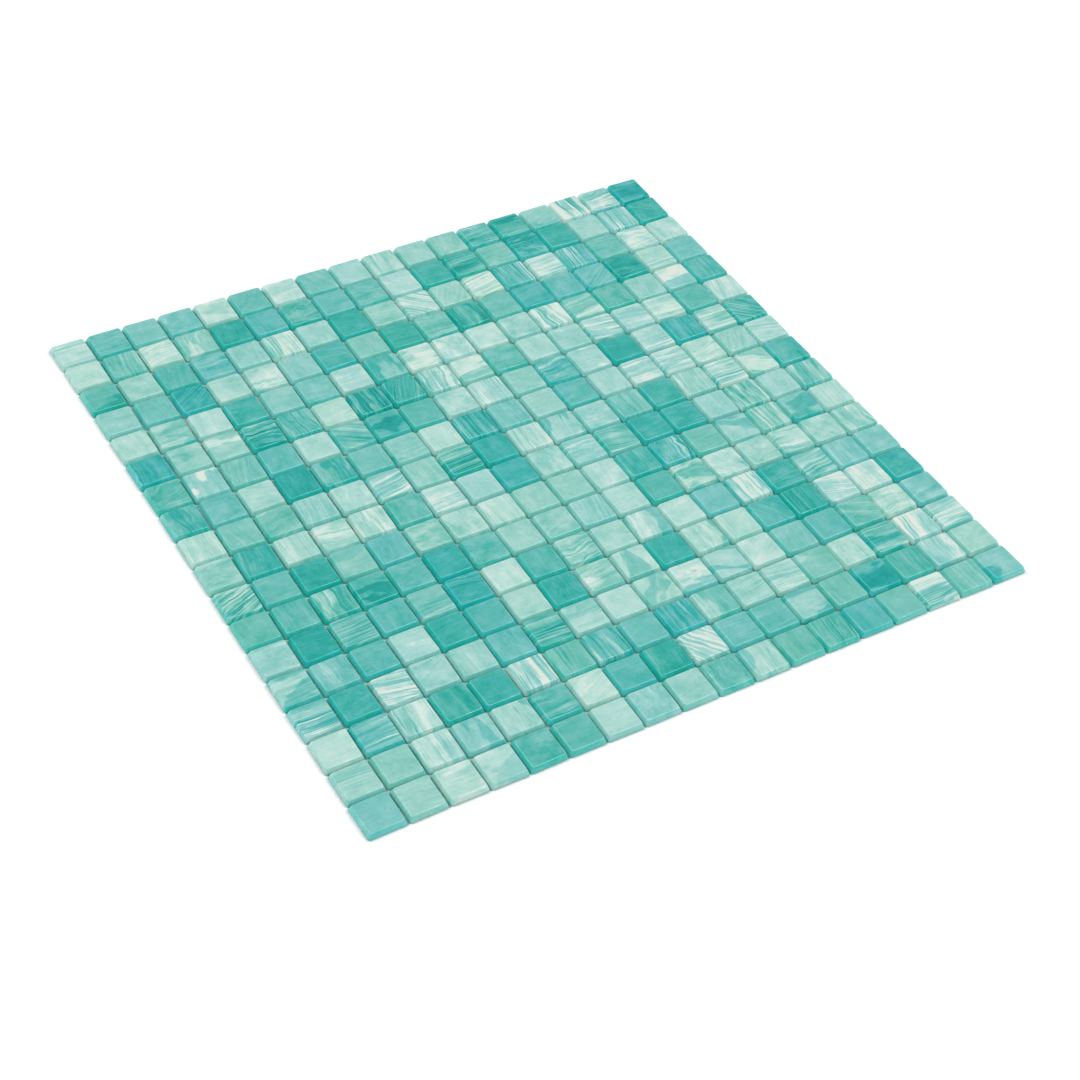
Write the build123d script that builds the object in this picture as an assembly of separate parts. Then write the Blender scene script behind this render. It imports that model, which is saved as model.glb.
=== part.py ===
"""Mesh-mounted sheet of small square glass tiles.

Rows of glass tiles lie face up on a laid fibre net, one joint width apart, in a hand-mixed blend of glass colours.
Sizes are in millimetres and +Z is up. The origin is at the middle of the sheet, on the plane that the net's
underside rests on. X runs along the front edge of the sheet and Y along its left edge.
"""
from build123d import *

import os
import random

# Layout of the sheet
TILES_PER_SIDE = 18
JOINT_WIDTH = 0.4

# One glass tile: its upright corners and its top edge are softened by flats
TILE_SIDE = 16.2
GLASS_THICKNESS = 2.6
CORNER_CUT = 0.7
EDGE_BEVEL_WIDTH = 1.0
EDGE_BEVEL_HEIGHT = 1.5

# Laid fibre net: flat yarns under every joint and between, trimmed just inside the outer tiles
YARNS_PER_PITCH = 2
YARN_WIDTH = 1.0
YARN_THICKNESS = 0.2
NET_TRIM = 0.6

# Blend of glass colours: each colour's share of the tiles, and the draw that lays them out
COLOUR_SHARES = {
    "deep_teal_tiles": 0.15,
    "teal_tiles": 0.18,
    "aqua_tiles": 0.20,
    "pale_aqua_tiles": 0.23,
    "mist_tiles": 0.24,
}
BLEND_SEED = 11

# Sizes that follow from those above
PITCH = TILE_SIDE + JOINT_WIDTH
SHEET_SIDE = TILES_PER_SIDE * PITCH - JOINT_WIDTH
NET_SIDE = SHEET_SIDE - 2 * NET_TRIM
NET_THICKNESS = 2 * YARN_THICKNESS
YARN_PITCH = PITCH / YARNS_PER_PITCH
YARN_COUNT = TILES_PER_SIDE * YARNS_PER_PITCH - 1


def glass_tile():
    """One tile centred on the Z axis, with its back on the net's upper yarns."""
    with BuildPart() as tile:
        with BuildSketch(Plane.XY.offset(NET_THICKNESS)) as plan:
            Rectangle(TILE_SIDE, TILE_SIDE)
            chamfer(plan.vertices(), CORNER_CUT)
        extrude(amount=GLASS_THICKNESS)
        face = tile.faces().sort_by(Axis.Z)[-1]
        chamfer(face.edges(), EDGE_BEVEL_WIDTH, EDGE_BEVEL_HEIGHT, reference=face)
    return tile.part


def tiles_by_colour():
    """The whole grid of tiles, dealt out at random to the glass colours in their shares."""
    tile = glass_tile()
    places = GridLocations(PITCH, PITCH, TILES_PER_SIDE, TILES_PER_SIDE).locations
    dealer = random.Random(BLEND_SEED)
    colours = dealer.choices(list(COLOUR_SHARES), list(COLOUR_SHARES.values()), k=len(places))
    groups = {name: [] for name in COLOUR_SHARES}
    for colour, place in zip(colours, places):
        groups[colour].append(tile.moved(place))
    return groups


def laid_yarns(layer, turn):
    """One layer of the net: parallel flat yarns as long as the net, turned about the Z axis by an angle."""
    seat = (Align.CENTER, Align.CENTER, Align.MIN)
    yarn = Box(YARN_WIDTH, NET_SIDE, YARN_THICKNESS, align=seat)
    yarns = []
    for place in GridLocations(YARN_PITCH, YARN_PITCH, YARN_COUNT, 1).locations:
        lie = Location((0, 0, layer * YARN_THICKNESS), (0, 0, turn))
        yarns.append(yarn.moved(lie * place))
    return yarns


def export_node(name, solids):
    """Write like pieces, which lie apart, as one node."""
    node = Compound(label=name, children=solids)
    export_step(node, f"parts/{name}.step")


def main():
    os.makedirs("parts", exist_ok=True)
    for name, tiles in tiles_by_colour().items():
        export_node(name, tiles)
    export_node("net_warp_yarns", laid_yarns(layer=0, turn=0))
    export_node("net_weft_yarns", laid_yarns(layer=1, turn=90))


if __name__ == "__main__":
    main()
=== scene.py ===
"""Looks of a mesh-mounted sheet of glass mosaic: streaky glass tiles on a laid fibre net, on a pale floor.

The file is laid out as an add-on and run as a script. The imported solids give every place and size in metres.
"""

import math

import bmesh
import bpy
from bpy.props import FloatProperty, FloatVectorProperty, PointerProperty
from mathutils import Matrix, Vector


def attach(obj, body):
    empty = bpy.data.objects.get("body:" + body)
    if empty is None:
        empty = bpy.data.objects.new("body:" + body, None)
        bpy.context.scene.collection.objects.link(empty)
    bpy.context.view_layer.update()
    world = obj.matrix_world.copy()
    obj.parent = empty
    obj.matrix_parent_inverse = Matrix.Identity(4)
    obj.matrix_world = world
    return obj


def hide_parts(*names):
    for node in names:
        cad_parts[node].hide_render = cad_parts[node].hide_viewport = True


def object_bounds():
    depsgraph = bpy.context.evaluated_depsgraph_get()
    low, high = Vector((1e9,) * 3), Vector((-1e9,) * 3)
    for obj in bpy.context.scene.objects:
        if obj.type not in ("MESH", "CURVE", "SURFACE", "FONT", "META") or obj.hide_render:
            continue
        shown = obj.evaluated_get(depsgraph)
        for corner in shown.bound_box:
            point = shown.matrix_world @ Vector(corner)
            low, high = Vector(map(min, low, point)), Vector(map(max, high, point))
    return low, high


bl_info = {
    "name": "Glass mosaic sheet",
    "version": (1, 0, 0),
    "blender": (4, 5, 0),
    "location": "3D View > Sidebar > Mosaic",
    "description": "Makes the glass tiles, the fibre net and the stage of a mosaic sheet around its solids",
    "category": "Object",
}

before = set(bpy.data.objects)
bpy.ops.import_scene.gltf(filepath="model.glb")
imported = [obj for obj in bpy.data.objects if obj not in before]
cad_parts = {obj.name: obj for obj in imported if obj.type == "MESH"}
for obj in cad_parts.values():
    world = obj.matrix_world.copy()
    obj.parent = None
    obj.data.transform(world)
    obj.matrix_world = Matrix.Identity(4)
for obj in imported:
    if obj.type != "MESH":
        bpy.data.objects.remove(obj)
CAD_BOX = [list(corner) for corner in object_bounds()]
BODY = "root"
MILLIMETRE = 0.001
WELD = 1e-6
BOX_DIGITS = 5
QUARTER_TURN = math.pi / 2
ZEROS = (0, 0, 0)
ONES = (1, 1, 1)
MINUS_ONES = (-1, -1, -1)


def linear(red, green, blue):
    """A colour given as it shows on a screen, 0 to 255, as the scene's linear light."""
    shown = [level / 255 for level in (red, green, blue)]
    return [level / 12.92 if level <= 0.04045 else ((level + 0.055) / 1.055) ** 2.4 for level in shown]


# Shoulder of a tile, row by row from its upright side to its rim: share of the edge's width and height
SHOULDER = ((0.0, 1.0), (0.70, 0.18), (0.91, 0.04), (1.0, 0.0))
CORNER_POINTS = 2

# Drifts that put rows, single tiles and yarns out of line: how fast each one changes, to the metre
ROW_DRIFT = 9.0
SIDE_DRIFT = 60.0
YARN_DRIFT = 45.0

# Streaks run along or across a tile: radians that any may slant by, and power by which few lie well askew
STREAK_SLANT = 0.1
ASKEW_POWER = 4.0

# Each tile is cut from its own place in the glass, at most this many millimetres off, each way
PATTERN_REACH = 400

# Glass colours: middle tone on the glass scales, how far a tile strays from it, and the seed of its draws
GLASS_COLOURS = {
    "deep_teal": {"tone": 0.29, "stray": 0.05, "seed": 3},
    "teal": {"tone": 0.43, "stray": 0.06, "seed": 17},
    "aqua": {"tone": 0.56, "stray": 0.06, "seed": 29},
    "pale_aqua": {"tone": 0.70, "stray": 0.05, "seed": 41},
    "mist": {"tone": 0.81, "stray": 0.05, "seed": 53},
}

# Scale of the glass from deep clear teal to milk white: place on the scale and colour
GLASS_SCALE = (
    (0.00, linear(8, 152, 145)),
    (0.15, linear(31, 165, 159)),
    (0.30, linear(66, 178, 171)),
    (0.60, linear(131, 198, 191)),
    (0.87, linear(184, 220, 212)),
    (1.00, linear(214, 230, 222)),
)

# Milk of the tiles whose white glass is warm: colour, which tiles have it, and the tones where it sets in
CREAM_COLOUR = linear(223, 230, 220)
CREAM_SHADE = (0.3, 0.7)
CREAM_TONE = (0.80, 1.0)

# The same glass down its sides: partly the deeper, clearer colour of glass seen through its body, partly a
# painted glow of light coming through the glass
SIDE_GLOW_SCALE = (
    (0.00, linear(14, 176, 170)),
    (0.25, linear(32, 194, 188)),
    (0.45, linear(84, 203, 196)),
    (0.75, linear(156, 215, 208)),
    (1.00, linear(212, 232, 224)),
)

# Millimetres below the top between which the side's colour sets in, and lower down a share of the foot's
# colour, a painted glow of light coming through the glass into the joints
SIDE_DEPTH = (0.0, 0.12)
FOOT_DEPTH = (1.5, 2.3)
FOOT_GLOW_SHARE = 0.4
FOOT_GLOW_COLOUR = linear(82, 184, 169)

# Hue left as it is, and how far it is turned from tile to tile and in the clouds
TRUE_HUE = 0.5
HUE_STRAY = 0.011
HUE_CLOUDS = 0.04

# Patterns in the glass: changes to the millimetre along the grain, across it and up, detail and roughness
GLASS_PATTERNS = {
    "sway": ((0.07, 0.10, 0.20), 2.0, 0.5),
    "bands": ((0.03, 0.20, 0.10), 2.0, 0.5),
    "lines": ((0.018, 1.10, 0.15), 2.0, 0.5),
    "bundles": ((0.025, 0.15, 0.10), 1.0, 0.5),
    "stripes": ((0.012, 0.60, 0.10), 2.0, 0.6),
    "layers": ((0.018, 0.45, 0.12), 2.0, 0.55),
    "hairy_spots": ((0.10, 0.12, 0.10), 1.0, 0.5),
    "clouds": ((0.13, 0.16, 0.20), 5.0, 0.62),
    "specks": ((0.65, 0.75, 0.50), 3.0, 0.6),
    "patches": ((0.03, 0.09, 0.05), 3.0, 0.5),
    "ripples": ((0.35, 0.35, 0.30), 2.0, 0.5),
    "dullness": ((0.50, 0.50, 0.30), 3.0, 0.5),
}

# Values of a pattern between which a form sets in, and of a tile's habit between which it is parted
BUNDLE_EDGE = (0.40, 0.60)
STRIPE_EDGE = (0.46, 0.54)
HAIRY_EDGE = (0.42, 0.62)
PATCH_EDGE = (0.48, 0.52)
PARTED_HABIT = (0.80, 0.90)

# Hairlines: level of the layers that they follow, and how far from it they fade out
WHITE_HAIRS = (0.53, 0.045)
DARK_HAIRS = (0.44, 0.035)

# Powers by which only a few tiles have much of a habit
STREAKY_POWER = 3.5
SWIRL_POWER = 4.0

# What a tile's habit or shade, or a bundle of lines, does: value without it, and what all of it adds
SWAY_REACH = (2.0, 12.0)
STREAK_DENSITY = (1.0, 0.45)
STREAK_STRENGTH = (0.14, 1.5)
LINE_STRENGTH = (0.3, 0.7)
HAIR_STRENGTH = (0.25, 1.1)
CLOUD_STRENGTH = (0.46, 0.5)
# Painted highlight along the rim, which the tile's shade moves
RIM_HIGHLIGHT_STRENGTH = (0.45, 0.25)

# Weights of the bands and lines in the streaks, and how far the other forms move the tone
BAND_WEIGHT = 0.7
LINE_WEIGHT = 1.1
STRIPE_TONE = 0.24
WHITE_HAIR_TONE = 0.22
DARK_HAIR_TONE = -0.20
SPECK_TONE = 0.14
PATCH_TONE = 0.26

# Surface of the glass: relief of its lines beside its ripples, depth of both, gloss, and scattered light
LINE_RELIEF = 0.25
GLASS_BUMP = {"Strength": 0.2, "Distance": 0.3 * MILLIMETRE}
GLASS_ROUGHNESS = (0.12, 0.12)
GLASS_FINISH = {
    "IOR": 1.5,
    "Subsurface Weight": 0.7,
    "Subsurface Radius": (0.5, 1.0, 0.95),
    "Subsurface Scale": 2.0 * MILLIMETRE,
}

# Yarns of the net: made from a rod of unit width, swollen by a share of their width where they cross
ROD_RADIUS = 0.5
ROD_SIDES = 8
YARN_SWELL = 0.18
YARNS_PER_TILE = 2
SEGMENTS_PER_CROSSING = 2

# Finish of the yarns: patterns as in the glass but to the metre, their weights, and the lightness they give
FIBRE_PATTERNS = {
    "filaments": ((9000.0, 160.0, 9000.0), 2.0, 0.6),
    "blotches": ((300.0, 90.0, 300.0), 3.0, 0.6),
}
FILAMENT_WEIGHT = 0.35
BLOTCH_WEIGHT = 0.3
FIBRE_LIGHT = (0.72, 0.45)
FIBRE_BUMP = {"Strength": 0.6, "Distance": 0.1 * MILLIMETRE}
FIBRE_ROUGHNESS = 0.55

# Painted light through the glass on the yarns: heights where the upper side sets in, and how it is lost where
# four corners leave a hole
UPPER_SIDE = (0.08 * MILLIMETRE, 0.14 * MILLIMETRE)
OPEN_CORNER = (0.93, 0.99)
CORNER_GLASS_LIGHT = (1.0, -0.7)

# Stage: places of the soft lamps at both sides, finish of the floor, and millimetres of the camera's sensor
LAMP_PLACES = {"left_lamp": (-1.65, 1.13, 3.0), "right_lamp": (1.65, -1.13, 3.0)}
FLOOR_ROUGHNESS = 0.9
SENSOR_WIDTH = 36.0


class TileProperties(bpy.types.PropertyGroup):
    """Form of the glass tiles and how loosely they are laid."""

    corner_radius: FloatProperty(
        name="Corner radius", description="Rounding of a tile's upright corners",
        default=0.9 * MILLIMETRE, unit="LENGTH")
    edge_width: FloatProperty(
        name="Edge width", description="How far the rounded top edge reaches in over the face",
        default=1.0 * MILLIMETRE, unit="LENGTH")
    edge_height: FloatProperty(
        name="Edge height", description="How far the rounded top edge reaches down the side",
        default=2.3 * MILLIMETRE, unit="LENGTH")
    # The rim band is also where the painted highlight lies
    rim_width: FloatProperty(
        name="Rim width", description="Width of the bright rim along the top edge",
        default=0.15 * MILLIMETRE, unit="LENGTH")
    size_spread: FloatProperty(
        name="Size spread", description="Largest share by which a tile is cut small",
        default=0.015, subtype="FACTOR")
    turn_spread: FloatProperty(
        name="Turn spread", description="Largest turn of a tile out of line",
        default=math.radians(0.9), unit="ROTATION")
    shift_spread: FloatProperty(
        name="Shift spread", description="Largest shift of a tile from its place, each way",
        default=0.12 * MILLIMETRE, unit="LENGTH")
    row_wander: FloatProperty(
        name="Row wander", description="How far whole rows stray from straight lines",
        default=1.2 * MILLIMETRE, unit="LENGTH")
    side_wander: FloatProperty(
        name="Side wander", description="How far the sides of single tiles stray from a true square",
        default=0.8 * MILLIMETRE, unit="LENGTH")


class NetProperties(bpy.types.PropertyGroup):
    """Finish of the fibre net under the tiles."""

    fibre_colour: FloatVectorProperty(
        name="Fibre colour", description="Colour of the coated yarns",
        default=linear(212, 216, 208), size=3, min=0.0, max=1.0, subtype="COLOR")
    lit_colour: FloatVectorProperty(
        name="Lit colour",
        description="Colour of the yarns' upper side, in light that comes through the glass",
        default=linear(118, 208, 195), size=3, min=0.0, max=1.0, subtype="COLOR")
    wander: FloatProperty(
        name="Wander", description="How far a yarn strays sideways from a straight line",
        default=0.15 * MILLIMETRE, unit="LENGTH")


class StageProperties(bpy.types.PropertyGroup):
    """Floor, light and camera."""

    floor_colour: FloatVectorProperty(
        name="Floor colour", description="Colour of the studio floor",
        default=(0.96, 0.96, 0.96), size=3, min=0.0, max=1.0, subtype="COLOR")
    floor_reach: FloatProperty(
        name="Floor reach", description="How far the studio floor reaches from the sheet, each way",
        default=20.0, unit="LENGTH")
    sky_strength: FloatProperty(
        name="Sky strength", description="Even light from all round", default=0.33)
    lamp_power: FloatProperty(
        name="Lamp power", description="Power of each of the two soft lamps", default=62.2, unit="POWER")
    lamp_size: FloatProperty(
        name="Lamp size", description="Side of each of the two soft lamps", default=1.6, unit="LENGTH")
    camera_place: FloatVectorProperty(
        name="Camera place", description="Where the camera stands",
        default=(-0.3790, -0.5719, 0.6175), size=3, subtype="TRANSLATION")
    camera_aim: FloatVectorProperty(
        name="Camera aim", description="Point of the floor in the middle of the picture",
        default=(-0.0180, -0.0450, 0.0), size=3, subtype="TRANSLATION")
    camera_roll: FloatProperty(
        name="Camera roll", description="Turn of the camera about its own line of sight",
        default=math.radians(5.66), unit="ROTATION")
    camera_lens: FloatProperty(
        name="Camera lens", description="Focal length in millimetres on a 36 mm sensor", default=73.7)


def feed(tree, socket, value):
    """Give an input a value, or link it to the socket of another node."""
    if isinstance(value, bpy.types.NodeSocket):
        tree.links.new(value, socket)
    else:
        socket.default_value = value


def add(tree, kind, inputs=None, **settings):
    """A node of that kind, its settings set and its inputs given a value or linked to a socket."""
    node = tree.nodes.new(kind)
    for name, value in settings.items():
        setattr(node, name, value)
    for key, value in (inputs or {}).items():
        feed(tree, node.inputs[key], value)
    return node


def in_use(sockets):
    """Those of a node's sockets that its settings leave in use."""
    return [socket for socket in sockets if socket.enabled]


def maths(tree, operation, first, second=0.0, clamp=False):
    """The result of one sum."""
    node = add(tree, "ShaderNodeMath", {0: first, 1: second}, operation=operation, use_clamp=clamp)
    return node.outputs[0]


def vector_maths(tree, operation, first, second):
    """The result of one sum with vectors. To scale one, the second value is a number."""
    other = "Scale" if operation == "SCALE" else 1
    return add(tree, "ShaderNodeVectorMath", {0: first, other: second}, operation=operation).outputs[0]


def combined(tree, x, y, z):
    """A vector of three numbers."""
    return add(tree, "ShaderNodeCombineXYZ", {0: x, 1: y, 2: z}).outputs[0]


def separated(tree, vector):
    """The three numbers of a vector."""
    return add(tree, "ShaderNodeSeparateXYZ", {0: vector}).outputs


def weighted(tree, start, terms):
    """A start value with terms added to it, each times its weight."""
    total = start
    for term, weight in terms:
        total = maths(tree, "ADD", total, maths(tree, "MULTIPLY", term, weight))
    return total


def ranged(tree, span, amount):
    """The first value of a span, with an amount of the second added."""
    start, added = span
    return weighted(tree, start, ((amount, added),))


def new_nodes(name, sizes):
    """An empty tree of geometry nodes, its named inputs to read from, and its result to link to."""
    tree = bpy.data.node_groups.new(name, "GeometryNodeTree")
    for label, kind in sizes:
        tree.interface.new_socket(name=label, in_out="INPUT", socket_type=kind)
    tree.interface.new_socket(name="Geometry", in_out="OUTPUT", socket_type="NodeSocketGeometry")
    given = tree.nodes.new("NodeGroupInput")
    result = tree.nodes.new("NodeGroupOutput")
    return tree, given.outputs, result.inputs


def run_nodes(name, start, tree, values):
    """A plain mesh object: the start mesh put through the tree with those values for its named inputs."""
    worker = bpy.data.objects.new(name, start)
    bpy.context.scene.collection.objects.link(worker)
    modifier = worker.modifiers.new(tree.name, "NODES")
    modifier.node_group = tree
    for socket in tree.interface.items_tree:
        if socket.name in values:
            modifier[socket.identifier] = values[socket.name]
    bpy.context.view_layer.update()
    done = worker.evaluated_get(bpy.context.evaluated_depsgraph_get())
    mesh = bpy.data.meshes.new_from_object(done)
    worker.modifiers.remove(modifier)
    worker.data = mesh
    mesh.name = name
    if not mesh.polygons:
        raise RuntimeError(f"{name}: the nodes gave no faces")
    return worker


def dress(piece, node):
    """The piece rides with the sheet in place of the solids' node."""
    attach(piece, BODY)
    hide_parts(node)


def separate_boxes(node):
    """Lowest and highest corner of each separate solid of a node, row by row."""
    work = bmesh.new()
    work.from_mesh(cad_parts[node].data)
    bmesh.ops.remove_doubles(work, verts=work.verts, dist=WELD)
    boxes = []
    for seed in work.verts:
        if seed.tag:
            continue
        seed.tag = True
        reached = [seed]
        for vert in reached:
            for edge in vert.link_edges:
                other = edge.other_vert(vert)
                if not other.tag:
                    other.tag = True
                    reached.append(other)
        low = Vector(min(vert.co[axis] for vert in reached) for axis in range(3))
        high = Vector(max(vert.co[axis] for vert in reached) for axis in range(3))
        boxes.append((low, high))
    work.free()
    return sorted(boxes, key=lambda box: (round(box[0].y, BOX_DIGITS), round(box[0].x, BOX_DIGITS)))


def seats(name, boxes):
    """A mesh of loose points, one under the middle of each box."""
    mesh = bpy.data.meshes.new(name)
    mesh.from_pydata([((low.x + high.x) / 2, (low.y + high.y) / 2, low.z) for low, high in boxes], [], [])
    return mesh


def store(tree, geometry, name, value, kind="FLOAT", selection=True):
    """The geometry with a named value stored on its points, or on some of them."""
    inputs = {"Geometry": geometry, "Selection": selection, "Name": name, "Value": value}
    node = add(tree, "GeometryNodeStoreNamedAttribute", inputs, data_type=kind, domain="POINT")
    return node.outputs["Geometry"]


def stored(tree, name, kind="FLOAT"):
    """A named value read back from the points."""
    return add(tree, "GeometryNodeInputNamedAttribute", {"Name": name}, data_type=kind).outputs["Attribute"]


def position(tree):
    """Where each point lies."""
    return add(tree, "GeometryNodeInputPosition").outputs[0]


def random_value(tree, seed, low, high, kind="FLOAT"):
    """A random number, or three, for each point."""
    node = add(tree, "FunctionNodeRandomValue", data_type=kind)
    for socket, value in zip(in_use(node.inputs), (low, high)):
        feed(tree, socket, value)
    feed(tree, node.inputs["Seed"], seed)
    return in_use(node.outputs)[0]


def stray_sideways(tree, scale, reach):
    """A level shift that changes slowly from place to place."""
    drift = add(tree, "ShaderNodeTexNoise", {"Vector": position(tree), "Scale": scale, "Detail": 1.0})
    drift = vector_maths(tree, "SUBTRACT", drift.outputs["Color"], (0.5, 0.5, 0.5))
    level = vector_maths(tree, "MULTIPLY", drift, (1, 1, 0))
    return vector_maths(tree, "SCALE", level, reach)


def draw_in(tree, mesh, top, rise, half, inset, inset_before):
    """The top face raised with a new wall round it, and drawn in from one inset to the next."""
    raised = add(tree, "GeometryNodeExtrudeMesh", {
        "Mesh": mesh, "Selection": top, "Offset": (0, 0, 1), "Offset Scale": rise, "Individual": False})
    reach = maths(tree, "SUBTRACT", half, inset)
    reach_before = maths(tree, "SUBTRACT", half, inset_before)
    drawn = add(tree, "GeometryNodeScaleElements", {
        "Geometry": raised.outputs["Mesh"], "Selection": raised.outputs["Top"],
        "Scale": maths(tree, "DIVIDE", reach, reach_before)})
    return drawn.outputs["Geometry"], raised.outputs["Top"]


def tile_blank(tree, sizes):
    """Nodes for one tile: a rounded square raised to its thickness, with a rounded shoulder and flat top."""
    side, thickness = sizes["Side"], sizes["Thickness"]
    half = maths(tree, "MULTIPLY", side, 0.5)
    square = add(tree, "GeometryNodeCurvePrimitiveQuadrilateral", {"Width": side, "Height": side})
    outline = add(tree, "GeometryNodeFilletCurve", {
        "Curve": square.outputs[0], "Count": CORNER_POINTS, "Radius": sizes["Corner Radius"]}, mode="POLY")
    plan = add(tree, "GeometryNodeFillCurve", {"Curve": outline.outputs[0]}, mode="NGONS").outputs["Mesh"]
    back = add(tree, "GeometryNodeFlipFaces", {"Mesh": plan}).outputs["Mesh"]

    mesh, top = plan, True
    inset_before, height_before = 0.0, 0.0
    for across, drop in SHOULDER:
        inset = maths(tree, "MULTIPLY", sizes["Edge Width"], across)
        height = maths(tree, "SUBTRACT", thickness, maths(tree, "MULTIPLY", sizes["Edge Height"], drop))
        rise = maths(tree, "SUBTRACT", height, height_before)
        mesh, top = draw_in(tree, mesh, top, rise, half, inset, inset_before)
        inset_before, height_before = inset, height
    # The rim ring is marked for the painted highlight in the glass's colour
    mesh = store(tree, mesh, "rim", 1.0, selection=top)
    inset = maths(tree, "ADD", inset_before, sizes["Rim Width"])
    mesh, top = draw_in(tree, mesh, top, 0.0, half, inset, inset_before)
    mesh = store(tree, mesh, "rim", 0.0, selection=top)

    both = add(tree, "GeometryNodeJoinGeometry")
    tree.links.new(mesh, both.inputs[0])
    tree.links.new(back, both.inputs[0])
    closed = add(tree, "GeometryNodeMergeByDistance", {
        "Geometry": both.outputs[0], "Distance": WELD}).outputs[0]
    smooth = add(tree, "GeometryNodeSetShadeSmooth", {"Geometry": closed, "Shade Smooth": True}).outputs[0]
    place = position(tree)
    below = maths(tree, "SUBTRACT", thickness, separated(tree, place)["Z"])
    marked = store(tree, smooth, "depth", maths(tree, "DIVIDE", below, MILLIMETRE))
    return store(tree, marked, "blank_place", place, "FLOAT_VECTOR")


def held_inside(tree, geometry, half):
    """The geometry with whatever lies past the sheet's sides brought back to them."""
    x, y, z = separated(tree, position(tree))
    lowest = maths(tree, "MULTIPLY", half, -1.0)
    x, y = [maths(tree, "MINIMUM", maths(tree, "MAXIMUM", level, lowest), half) for level in (x, y)]
    inside = combined(tree, x, y, z)
    return add(tree, "GeometryNodeSetPosition", {"Geometry": geometry, "Position": inside}).outputs[0]


def with_grain(tree, geometry):
    """The geometry with each point's place in the glass: millimetres along the streaks, across and up."""
    inputs = {"Vector": stored(tree, "blank_place", "FLOAT_VECTOR"), "Angle": stored(tree, "streak_turn")}
    turned = add(tree, "ShaderNodeVectorRotate", inputs, rotation_type="Z_AXIS").outputs[0]
    turned = vector_maths(tree, "SCALE", turned, 1 / MILLIMETRE)
    grain = vector_maths(tree, "ADD", turned, stored(tree, "streak_start", "FLOAT_VECTOR"))
    marked = store(tree, geometry, "grain", grain, "FLOAT_VECTOR")
    for name in ("blank_place", "streak_turn", "streak_start"):
        marked = add(tree, "GeometryNodeRemoveAttribute", {"Geometry": marked, "Name": name}).outputs[0]
    return marked


def tile_nodes():
    """Geometry nodes that lay one tile on each point, a little out of line, with the facts of its glass."""
    tree, given, result = new_nodes("Lay tiles", (
        ("Seats", "NodeSocketGeometry"),
        ("Side", "NodeSocketFloat"),
        ("Thickness", "NodeSocketFloat"),
        ("Corner Radius", "NodeSocketFloat"),
        ("Edge Width", "NodeSocketFloat"),
        ("Edge Height", "NodeSocketFloat"),
        ("Rim Width", "NodeSocketFloat"),
        ("Size Spread", "NodeSocketFloat"),
        ("Turn Spread", "NodeSocketFloat"),
        ("Shift Spread", "NodeSocketFloat"),
        ("Row Wander", "NodeSocketFloat"),
        ("Side Wander", "NodeSocketFloat"),
        ("Sheet Half", "NodeSocketFloat"),
        ("Seed", "NodeSocketInt"),
        ("Glass", "NodeSocketMaterial"),
    ))
    seed_steps = iter(range(1, 20))

    def draw(low, high, kind="FLOAT"):
        """The next random number, or three, of each tile."""
        seed = maths(tree, "ADD", given["Seed"], float(next(seed_steps)))
        return random_value(tree, seed, low, high, kind)

    quarter = maths(tree, "MULTIPLY", maths(tree, "ROUND", draw(0.0, 1.0)), QUARTER_TURN)
    askew = maths(tree, "MULTIPLY", maths(tree, "POWER", draw(0.0, 1.0), ASKEW_POWER), draw(-1.0, 1.0))
    slant = maths(tree, "ADD", askew, draw(-STREAK_SLANT, STREAK_SLANT))
    start = draw((-PATTERN_REACH,) * 3, (PATTERN_REACH,) * 3, "FLOAT_VECTOR")
    points = store(tree, given["Seats"], "streak_turn", maths(tree, "ADD", quarter, slant))
    points = store(tree, points, "streak_start", start, "FLOAT_VECTOR")
    points = store(tree, points, "habit", draw(ZEROS, ONES, "FLOAT_VECTOR"), "FLOAT_VECTOR")
    points = store(tree, points, "shade", draw(MINUS_ONES, ONES, "FLOAT_VECTOR"), "FLOAT_VECTOR")

    turn = maths(tree, "MULTIPLY", draw(-1.0, 1.0), given["Turn Spread"])
    smallest = maths(tree, "SUBTRACT", 1.0, given["Size Spread"])
    size = draw(combined(tree, smallest, smallest, smallest), ONES, "FLOAT_VECTOR")
    shift = vector_maths(tree, "SCALE", draw((-1, -1, 0), (1, 1, 0), "FLOAT_VECTOR"), given["Shift Spread"])
    laid = add(tree, "GeometryNodeInstanceOnPoints", {
        "Points": points, "Instance": tile_blank(tree, given),
        "Rotation": combined(tree, 0.0, 0.0, turn), "Scale": size}).outputs[0]
    moved = add(tree, "GeometryNodeTranslateInstances", {
        "Instances": laid, "Translation": shift, "Local Space": False}).outputs[0]
    real = add(tree, "GeometryNodeRealizeInstances", {"Geometry": moved}).outputs[0]

    row_drift = stray_sideways(tree, ROW_DRIFT, given["Row Wander"])
    side_drift = stray_sideways(tree, SIDE_DRIFT, given["Side Wander"])
    drift = vector_maths(tree, "ADD", row_drift, side_drift)
    real = add(tree, "GeometryNodeSetPosition", {"Geometry": real, "Offset": drift}).outputs[0]
    real = with_grain(tree, held_inside(tree, real, given["Sheet Half"]))
    tinted = add(tree, "GeometryNodeSetMaterial", {"Geometry": real, "Material": given["Glass"]}).outputs[0]
    tree.links.new(tinted, result["Geometry"])
    return tree


def new_material(name):
    """A material with a Principled shader, its tree and the shader."""
    material = bpy.data.materials.new(name)
    material.use_nodes = True
    shader = material.node_tree.nodes["Principled BSDF"]
    return material, material.node_tree, shader


def attribute(tree, name, output="Fac"):
    """A value that the piece's mesh keeps on its points."""
    return add(tree, "ShaderNodeAttribute", attribute_name=name).outputs[output]


def noise(tree, vector, pattern):
    """Noise between 0 and 1, at a place in a pattern."""
    scale, detail, roughness = pattern
    stretched = vector_maths(tree, "MULTIPLY", vector, scale)
    node = add(tree, "ShaderNodeTexNoise", {
        "Vector": stretched, "Scale": 1.0, "Detail": detail, "Roughness": roughness})
    return node.outputs["Fac"]


def centred(tree, value):
    """A value between 0 and 1, brought to lie about 0."""
    return maths(tree, "SUBTRACT", value, 0.5)


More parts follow.
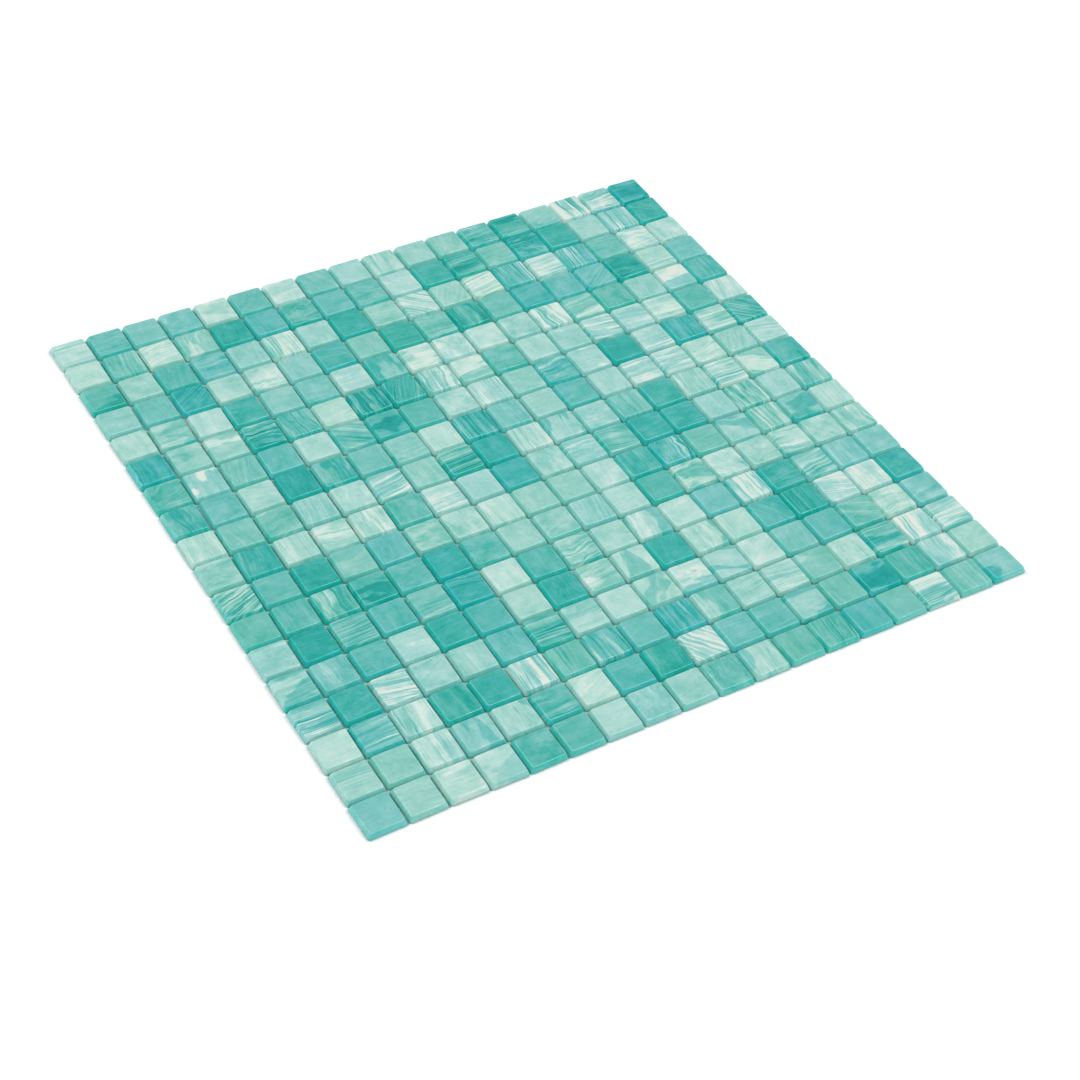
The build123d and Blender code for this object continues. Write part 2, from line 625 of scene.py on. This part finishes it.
def step_between(tree, value, low, high):
    """A smooth step from 0 at the low value to 1 at the high one."""
    node = add(tree, "ShaderNodeMapRange", {"Value": value, "From Min": low, "From Max": high},
               interpolation_type="SMOOTHSTEP")
    return node.outputs["Result"]


def hairlines(tree, layers, level, width):
    """Thin lines where layers of glass pass a level, fading out to a width on both sides."""
    away = maths(tree, "ABSOLUTE", maths(tree, "SUBTRACT", layers, level))
    return maths(tree, "SUBTRACT", 1.0, maths(tree, "DIVIDE", away, width), clamp=True)


def colour_scale(tree, tone, stops):
    """The colour at a tone of a scale of glass colours."""
    scale = add(tree, "ShaderNodeValToRGB", {"Fac": tone})
    ramp = scale.color_ramp.elements
    while len(ramp) < len(stops):
        ramp.new(0.5)
    for mark, (place, shade) in zip(ramp, stops):
        mark.position = place
        mark.color = (*shade, 1.0)
    return scale.outputs["Color"]


def blend(tree, share, first, second):
    """One colour, or by a share of it the other."""
    mixed = add(tree, "ShaderNodeMix", data_type="RGBA")
    for socket, value in zip(in_use(mixed.inputs), (share, first, second)):
        feed(tree, socket, value)
    return in_use(mixed.outputs)[0]


def glass_flow(tree, grain, swirl, spread):
    """The grain swayed sideways, far in a swirled tile, and with its streaks closer or wider by a spread."""
    along, across, up = separated(tree, grain)
    sway = centred(tree, noise(tree, grain, GLASS_PATTERNS["sway"]))
    across = maths(tree, "ADD", across, maths(tree, "MULTIPLY", sway, ranged(tree, SWAY_REACH, swirl)))
    across = maths(tree, "MULTIPLY", across, ranged(tree, STREAK_DENSITY, spread))
    return combined(tree, along, across, up)


def streak_tone(tree, flow, lines, streaky):
    """How far bands, lines and bundles of stripes along the flow move the tone."""
    bands = centred(tree, noise(tree, flow, GLASS_PATTERNS["bands"]))
    bundle = step_between(tree, noise(tree, flow, GLASS_PATTERNS["bundles"]), *BUNDLE_EDGE)
    stripes = step_between(tree, noise(tree, flow, GLASS_PATTERNS["stripes"]), *STRIPE_EDGE)
    lined = maths(tree, "MULTIPLY", lines, ranged(tree, LINE_STRENGTH, bundle))
    streaks = weighted(tree, 0.0, ((bands, BAND_WEIGHT), (lined, LINE_WEIGHT)))
    striped = maths(tree, "MULTIPLY", centred(tree, stripes), maths(tree, "MULTIPLY", streaky, bundle))
    return weighted(tree, 0.0, ((streaks, ranged(tree, STREAK_STRENGTH, streaky)), (striped, STRIPE_TONE)))


def hair_tone(tree, grain, flow, streaky):
    """How far white and dark hairlines along the flow move the tone."""
    layers = noise(tree, flow, GLASS_PATTERNS["layers"])
    spots = step_between(tree, noise(tree, grain, GLASS_PATTERNS["hairy_spots"]), *HAIRY_EDGE)
    hairy = maths(tree, "MULTIPLY", spots, ranged(tree, HAIR_STRENGTH, streaky))
    white = hairlines(tree, layers, *WHITE_HAIRS)
    dark = hairlines(tree, layers, *DARK_HAIRS)
    both = weighted(tree, 0.0, ((white, WHITE_HAIR_TONE), (dark, DARK_HAIR_TONE)))
    return maths(tree, "MULTIPLY", both, hairy)


def glass_colour(tree, tone, shade, clouds):
    """The colour of a tone on the tile's face, deeper down its side where it is partly a painted glow of light
    through the glass, and at the foot a share of a painted glow colour, with the hue of tile and clouds.
    """
    depth = attribute(tree, "depth")
    warm = step_between(tree, shade[1], *CREAM_SHADE)
    creamy = maths(tree, "MULTIPLY", warm, step_between(tree, tone, *CREAM_TONE))
    face = blend(tree, creamy, colour_scale(tree, tone, GLASS_SCALE), (*CREAM_COLOUR, 1.0))
    # Side colour: deeper glass and a painted glow of light through the glass
    side = colour_scale(tree, tone, SIDE_GLOW_SCALE)
    glass = blend(tree, step_between(tree, depth, *SIDE_DEPTH), face, side)
    hue = weighted(tree, TRUE_HUE, ((shade[1], HUE_STRAY), (clouds, HUE_CLOUDS)))
    tinted = add(tree, "ShaderNodeHueSaturation", {"Hue": hue, "Color": glass}).outputs[0]
    # Painted glow of light through the glass into the joints, mixed in at the foot
    foot_glow = maths(tree, "MULTIPLY", step_between(tree, depth, *FOOT_DEPTH), FOOT_GLOW_SHARE)
    return blend(tree, foot_glow, tinted, (*FOOT_GLOW_COLOUR, 1.0))


def streaky_glass(colour, facts):
    """Art glass of one colour: streaks, hairlines and clouds of milk in clear teal, with a painted highlight
    along the rim.
    """
    material, tree, shader = new_material(f"{colour}_glass")
    grain = attribute(tree, "grain", "Vector")
    habit = separated(tree, attribute(tree, "habit", "Vector"))
    shade = separated(tree, attribute(tree, "shade", "Vector"))
    streaky = maths(tree, "POWER", habit[0], STREAKY_POWER)
    swirl = maths(tree, "POWER", habit[1], SWIRL_POWER)
    parted = step_between(tree, habit[2], *PARTED_HABIT)
    flow = glass_flow(tree, grain, swirl, shade[2])

    lines = centred(tree, noise(tree, flow, GLASS_PATTERNS["lines"]))
    clouds = centred(tree, noise(tree, grain, GLASS_PATTERNS["clouds"]))
    specks = centred(tree, noise(tree, grain, GLASS_PATTERNS["specks"]))
    patch = centred(tree, step_between(tree, noise(tree, flow, GLASS_PATTERNS["patches"]), *PATCH_EDGE))
    tone = weighted(tree, facts["tone"], (
        (shade[0], facts["stray"]),
        (streak_tone(tree, flow, lines, streaky), 1.0),
        (hair_tone(tree, grain, flow, streaky), 1.0),
        (clouds, ranged(tree, CLOUD_STRENGTH, swirl)),
        (specks, SPECK_TONE),
        (maths(tree, "MULTIPLY", patch, parted), PATCH_TONE),
    ))
    # Painted highlight: along the rim the tone is raised towards milk white, more in deep glass
    painted_rim_highlight = maths(tree, "MULTIPLY", attribute(tree, "rim"), maths(tree, "SUBTRACT", 1.0, tone))
    tone = weighted(tree, tone, ((painted_rim_highlight, ranged(tree, RIM_HIGHLIGHT_STRENGTH, shade[2])),))
    tone = maths(tree, "MAXIMUM", 0.0, tone, clamp=True)
    feed(tree, shader.inputs["Base Color"], glass_colour(tree, tone, shade, clouds))

    uneven = weighted(tree, noise(tree, grain, GLASS_PATTERNS["ripples"]), ((lines, LINE_RELIEF),))
    bump = add(tree, "ShaderNodeBump", {**GLASS_BUMP, "Height": uneven})
    feed(tree, shader.inputs["Normal"], bump.outputs["Normal"])
    dull = ranged(tree, GLASS_ROUGHNESS, noise(tree, grain, GLASS_PATTERNS["dullness"]))
    feed(tree, shader.inputs["Roughness"], dull)
    for name, value in GLASS_FINISH.items():
        feed(tree, shader.inputs[name], value)
    return material


class MOSAIC_OT_tiles(bpy.types.Operator):
    """Lay the glass tiles of every colour where the solids have them"""

    bl_idname = "mosaic.tiles"
    bl_label = "Lay glass tiles"

    def execute(self, context):
        form = context.scene.mosaic_tiles
        tree = tile_nodes()
        for colour, facts in GLASS_COLOURS.items():
            node = f"{colour}_tiles"
            boxes = separate_boxes(node)
            low, high = boxes[0]
            piece = run_nodes(f"{colour}_glass_tiles", seats(node, boxes), tree, {
                "Side": high.x - low.x,
                "Thickness": high.z - low.z,
                "Corner Radius": form.corner_radius,
                "Edge Width": form.edge_width,
                "Edge Height": form.edge_height,
                "Rim Width": form.rim_width,
                "Size Spread": form.size_spread,
                "Turn Spread": form.turn_spread,
                "Shift Spread": form.shift_spread,
                "Row Wander": form.row_wander,
                "Side Wander": form.side_wander,
                "Sheet Half": CAD_BOX[1][0],
                "Seed": facts["seed"],
                "Glass": streaky_glass(colour, facts),
            })
            dress(piece, node)
        return {"FINISHED"}


def yarn_nodes():
    """Geometry nodes that lay one coated yarn on each point: flat, wider at the crossings, a little wavy."""
    tree, given, result = new_nodes("Lay yarns", (
        ("Seats", "NodeSocketGeometry"),
        ("Length", "NodeSocketFloat"),
        ("Width", "NodeSocketFloat"),
        ("Thickness", "NodeSocketFloat"),
        ("Crossing Pitch", "NodeSocketFloat"),
        ("Turn", "NodeSocketFloat"),
        ("Wander", "NodeSocketFloat"),
        ("Segments", "NodeSocketInt"),
        ("Fibre", "NodeSocketMaterial"),
    ))
    rod = add(tree, "GeometryNodeMeshCylinder", {
        "Vertices": ROD_SIDES, "Side Segments": given["Segments"], "Radius": ROD_RADIUS,
        "Depth": given["Length"]}, fill_type="NGON").outputs["Mesh"]
    across, down, along = separated(tree, position(tree))
    phase = maths(tree, "DIVIDE", maths(tree, "MULTIPLY", along, math.tau), given["Crossing Pitch"])
    swell = ranged(tree, (1 - YARN_SWELL, YARN_SWELL), maths(tree, "COSINE", phase))
    wide = maths(tree, "MULTIPLY", maths(tree, "MULTIPLY", across, given["Width"]), swell)
    high = maths(tree, "MULTIPLY", maths(tree, "ADD", down, ROD_RADIUS), given["Thickness"])
    yarn = store(tree, rod, "strand", combined(tree, wide, along, high), "FLOAT_VECTOR")
    yarn = add(tree, "GeometryNodeSetPosition", {
        "Geometry": yarn, "Position": stored(tree, "strand", "FLOAT_VECTOR")}).outputs[0]
    yarn = add(tree, "GeometryNodeFlipFaces", {"Mesh": yarn}).outputs[0]
    smooth = add(tree, "GeometryNodeSetShadeSmooth", {"Geometry": yarn, "Shade Smooth": True}).outputs[0]
    laid = add(tree, "GeometryNodeInstanceOnPoints", {
        "Points": given["Seats"], "Instance": smooth,
        "Rotation": combined(tree, 0.0, 0.0, given["Turn"])}).outputs[0]
    real = add(tree, "GeometryNodeRealizeInstances", {"Geometry": laid}).outputs[0]
    stray = stray_sideways(tree, YARN_DRIFT, given["Wander"])
    real = add(tree, "GeometryNodeSetPosition", {"Geometry": real, "Offset": stray}).outputs[0]
    coated = add(tree, "GeometryNodeSetMaterial", {"Geometry": real, "Material": given["Fibre"]}).outputs[0]
    tree.links.new(coated, result["Geometry"])
    return tree


def coated_fibre(fibre_colour, lit_colour, tile_pitch):
    """Off-white yarn of fine filaments under a coat, tinted above by light that comes through the glass."""
    material, tree, shader = new_material("coated_fibre")
    strand = attribute(tree, "strand", "Vector")
    _, along, up = separated(tree, strand)
    turns = maths(tree, "MULTIPLY", along, math.tau / tile_pitch)
    open_corner = step_between(tree, maths(tree, "COSINE", turns), *OPEN_CORNER)
    upper = step_between(tree, up, *UPPER_SIDE)
    # Painted light through the glass: the yarn's upper side takes the lit colour, less where four corners
    # leave a hole
    glass_light = maths(tree, "MULTIPLY", upper, ranged(tree, CORNER_GLASS_LIGHT, open_corner))
    tinted = blend(tree, glass_light, (*fibre_colour, 1.0), (*lit_colour, 1.0))

    filaments = noise(tree, strand, FIBRE_PATTERNS["filaments"])
    blotches = noise(tree, strand, FIBRE_PATTERNS["blotches"])
    uneven = weighted(tree, 0.0, ((filaments, FILAMENT_WEIGHT), (blotches, BLOTCH_WEIGHT)))
    darkest, span = FIBRE_LIGHT
    light = maths(tree, "ADD", darkest, maths(tree, "MULTIPLY", uneven, span), clamp=True)
    feed(tree, shader.inputs["Base Color"], vector_maths(tree, "SCALE", tinted, light))
    bump = add(tree, "ShaderNodeBump", {**FIBRE_BUMP, "Height": filaments})
    feed(tree, shader.inputs["Normal"], bump.outputs["Normal"])
    feed(tree, shader.inputs["Roughness"], FIBRE_ROUGHNESS)
    return material


class MOSAIC_OT_net(bpy.types.Operator):
    """Lay both layers of the fibre net that holds the tiles"""

    bl_idname = "mosaic.net"
    bl_label = "Lay fibre net"

    def execute(self, context):
        form = context.scene.mosaic_net
        tree = yarn_nodes()
        layers = {name: separate_boxes(f"net_{name}_yarns") for name in ("warp", "weft")}
        first, second = layers["warp"][:2]
        pitch = second[0].x - first[0].x
        fibre = coated_fibre(form.fibre_colour, form.lit_colour, YARNS_PER_TILE * pitch)
        for name, across, along in (("warp", 0, 1), ("weft", 1, 0)):
            node = f"net_{name}_yarns"
            low, high = layers[name][0]
            length = high[along] - low[along]
            piece = run_nodes(f"{name}_yarns", seats(node, layers[name]), tree, {
                "Length": length,
                "Width": high[across] - low[across],
                "Thickness": high.z - low.z,
                "Crossing Pitch": pitch,
                "Turn": across * QUARTER_TURN,
                "Wander": form.wander,
                "Segments": SEGMENTS_PER_CROSSING * round(length / pitch),
                "Fibre": fibre,
            })
            dress(piece, node)
        return {"FINISHED"}


def studio_floor(colour, reach):
    """Pale matt floor under the sheet."""
    mesh = bpy.data.meshes.new("floor")
    corners = [(-reach, -reach, 0), (reach, -reach, 0), (reach, reach, 0), (-reach, reach, 0)]
    mesh.from_pydata(corners, [], [(0, 1, 2, 3)])
    floor = bpy.data.objects.new("floor", mesh)
    bpy.context.scene.collection.objects.link(floor)
    material, _, shader = new_material("floor_paper")
    shader.inputs["Base Color"].default_value = (*colour, 1.0)
    shader.inputs["Roughness"].default_value = FLOOR_ROUGHNESS
    mesh.materials.append(material)


def soft_lamp(name, place, size, power):
    """A square soft lamp at a place, turned to face the middle of the sheet."""
    data = bpy.data.lights.new(name, "AREA")
    data.energy = power
    data.size = size
    lamp = bpy.data.objects.new(name, data)
    lamp.location = place
    lamp.rotation_euler = (-Vector(place)).to_track_quat("-Z", "Y").to_euler()
    bpy.context.scene.collection.objects.link(lamp)


def even_sky(strength):
    """Even white light from all round."""
    world = bpy.data.worlds.new("studio")
    world.use_nodes = True
    back = world.node_tree.nodes["Background"]
    back.inputs["Color"].default_value = (1, 1, 1, 1)
    back.inputs["Strength"].default_value = strength
    bpy.context.scene.world = world


def studio_camera(form):
    """Camera at the photograph's viewing angle."""
    data = bpy.data.cameras.new("camera")
    data.lens = form.camera_lens
    data.sensor_width = SENSOR_WIDTH
    camera = bpy.data.objects.new("camera", data)
    sight = Vector(form.camera_aim) - Vector(form.camera_place)
    turn = sight.to_track_quat("-Z", "Y").to_matrix() @ Matrix.Rotation(form.camera_roll, 3, "Z")
    camera.location = form.camera_place
    camera.rotation_euler = turn.to_euler()
    bpy.context.scene.collection.objects.link(camera)
    bpy.context.scene.camera = camera


class MOSAIC_OT_stage(bpy.types.Operator):
    """Set the floor, the soft light and the camera"""

    bl_idname = "mosaic.stage"
    bl_label = "Set stage"

    def execute(self, context):
        form = context.scene.mosaic_stage
        studio_floor(form.floor_colour, form.floor_reach)
        even_sky(form.sky_strength)
        for name, place in LAMP_PLACES.items():
            soft_lamp(name, place, form.lamp_size, form.lamp_power)
        studio_camera(form)
        context.scene.view_settings.view_transform = "Standard"
        return {"FINISHED"}


class MOSAIC_PT_panel(bpy.types.Panel):
    """The pieces of the mosaic sheet"""

    bl_idname = "MOSAIC_PT_panel"
    bl_label = "Glass mosaic sheet"
    bl_space_type = "VIEW_3D"
    bl_region_type = "UI"
    bl_category = "Mosaic"

    def draw(self, context):
        scene = context.scene
        for operator, group in ((MOSAIC_OT_tiles, scene.mosaic_tiles), (MOSAIC_OT_net, scene.mosaic_net),
                                (MOSAIC_OT_stage, scene.mosaic_stage)):
            box = self.layout.box()
            box.operator(operator.bl_idname)
            for name in type(group).__annotations__:
                box.prop(group, name)


CLASSES = (TileProperties, NetProperties, StageProperties,
           MOSAIC_OT_tiles, MOSAIC_OT_net, MOSAIC_OT_stage, MOSAIC_PT_panel)


def register():
    for kind in CLASSES:
        bpy.utils.register_class(kind)
    bpy.types.Scene.mosaic_tiles = PointerProperty(type=TileProperties)
    bpy.types.Scene.mosaic_net = PointerProperty(type=NetProperties)
    bpy.types.Scene.mosaic_stage = PointerProperty(type=StageProperties)


def unregister():
    del bpy.types.Scene.mosaic_stage
    del bpy.types.Scene.mosaic_net
    del bpy.types.Scene.mosaic_tiles
    for kind in reversed(CLASSES):
        bpy.utils.unregister_class(kind)


def main():
    register()
    bpy.ops.mosaic.tiles()
    bpy.ops.mosaic.net()
    bpy.ops.mosaic.stage()


if __name__ == "__main__":
    main()
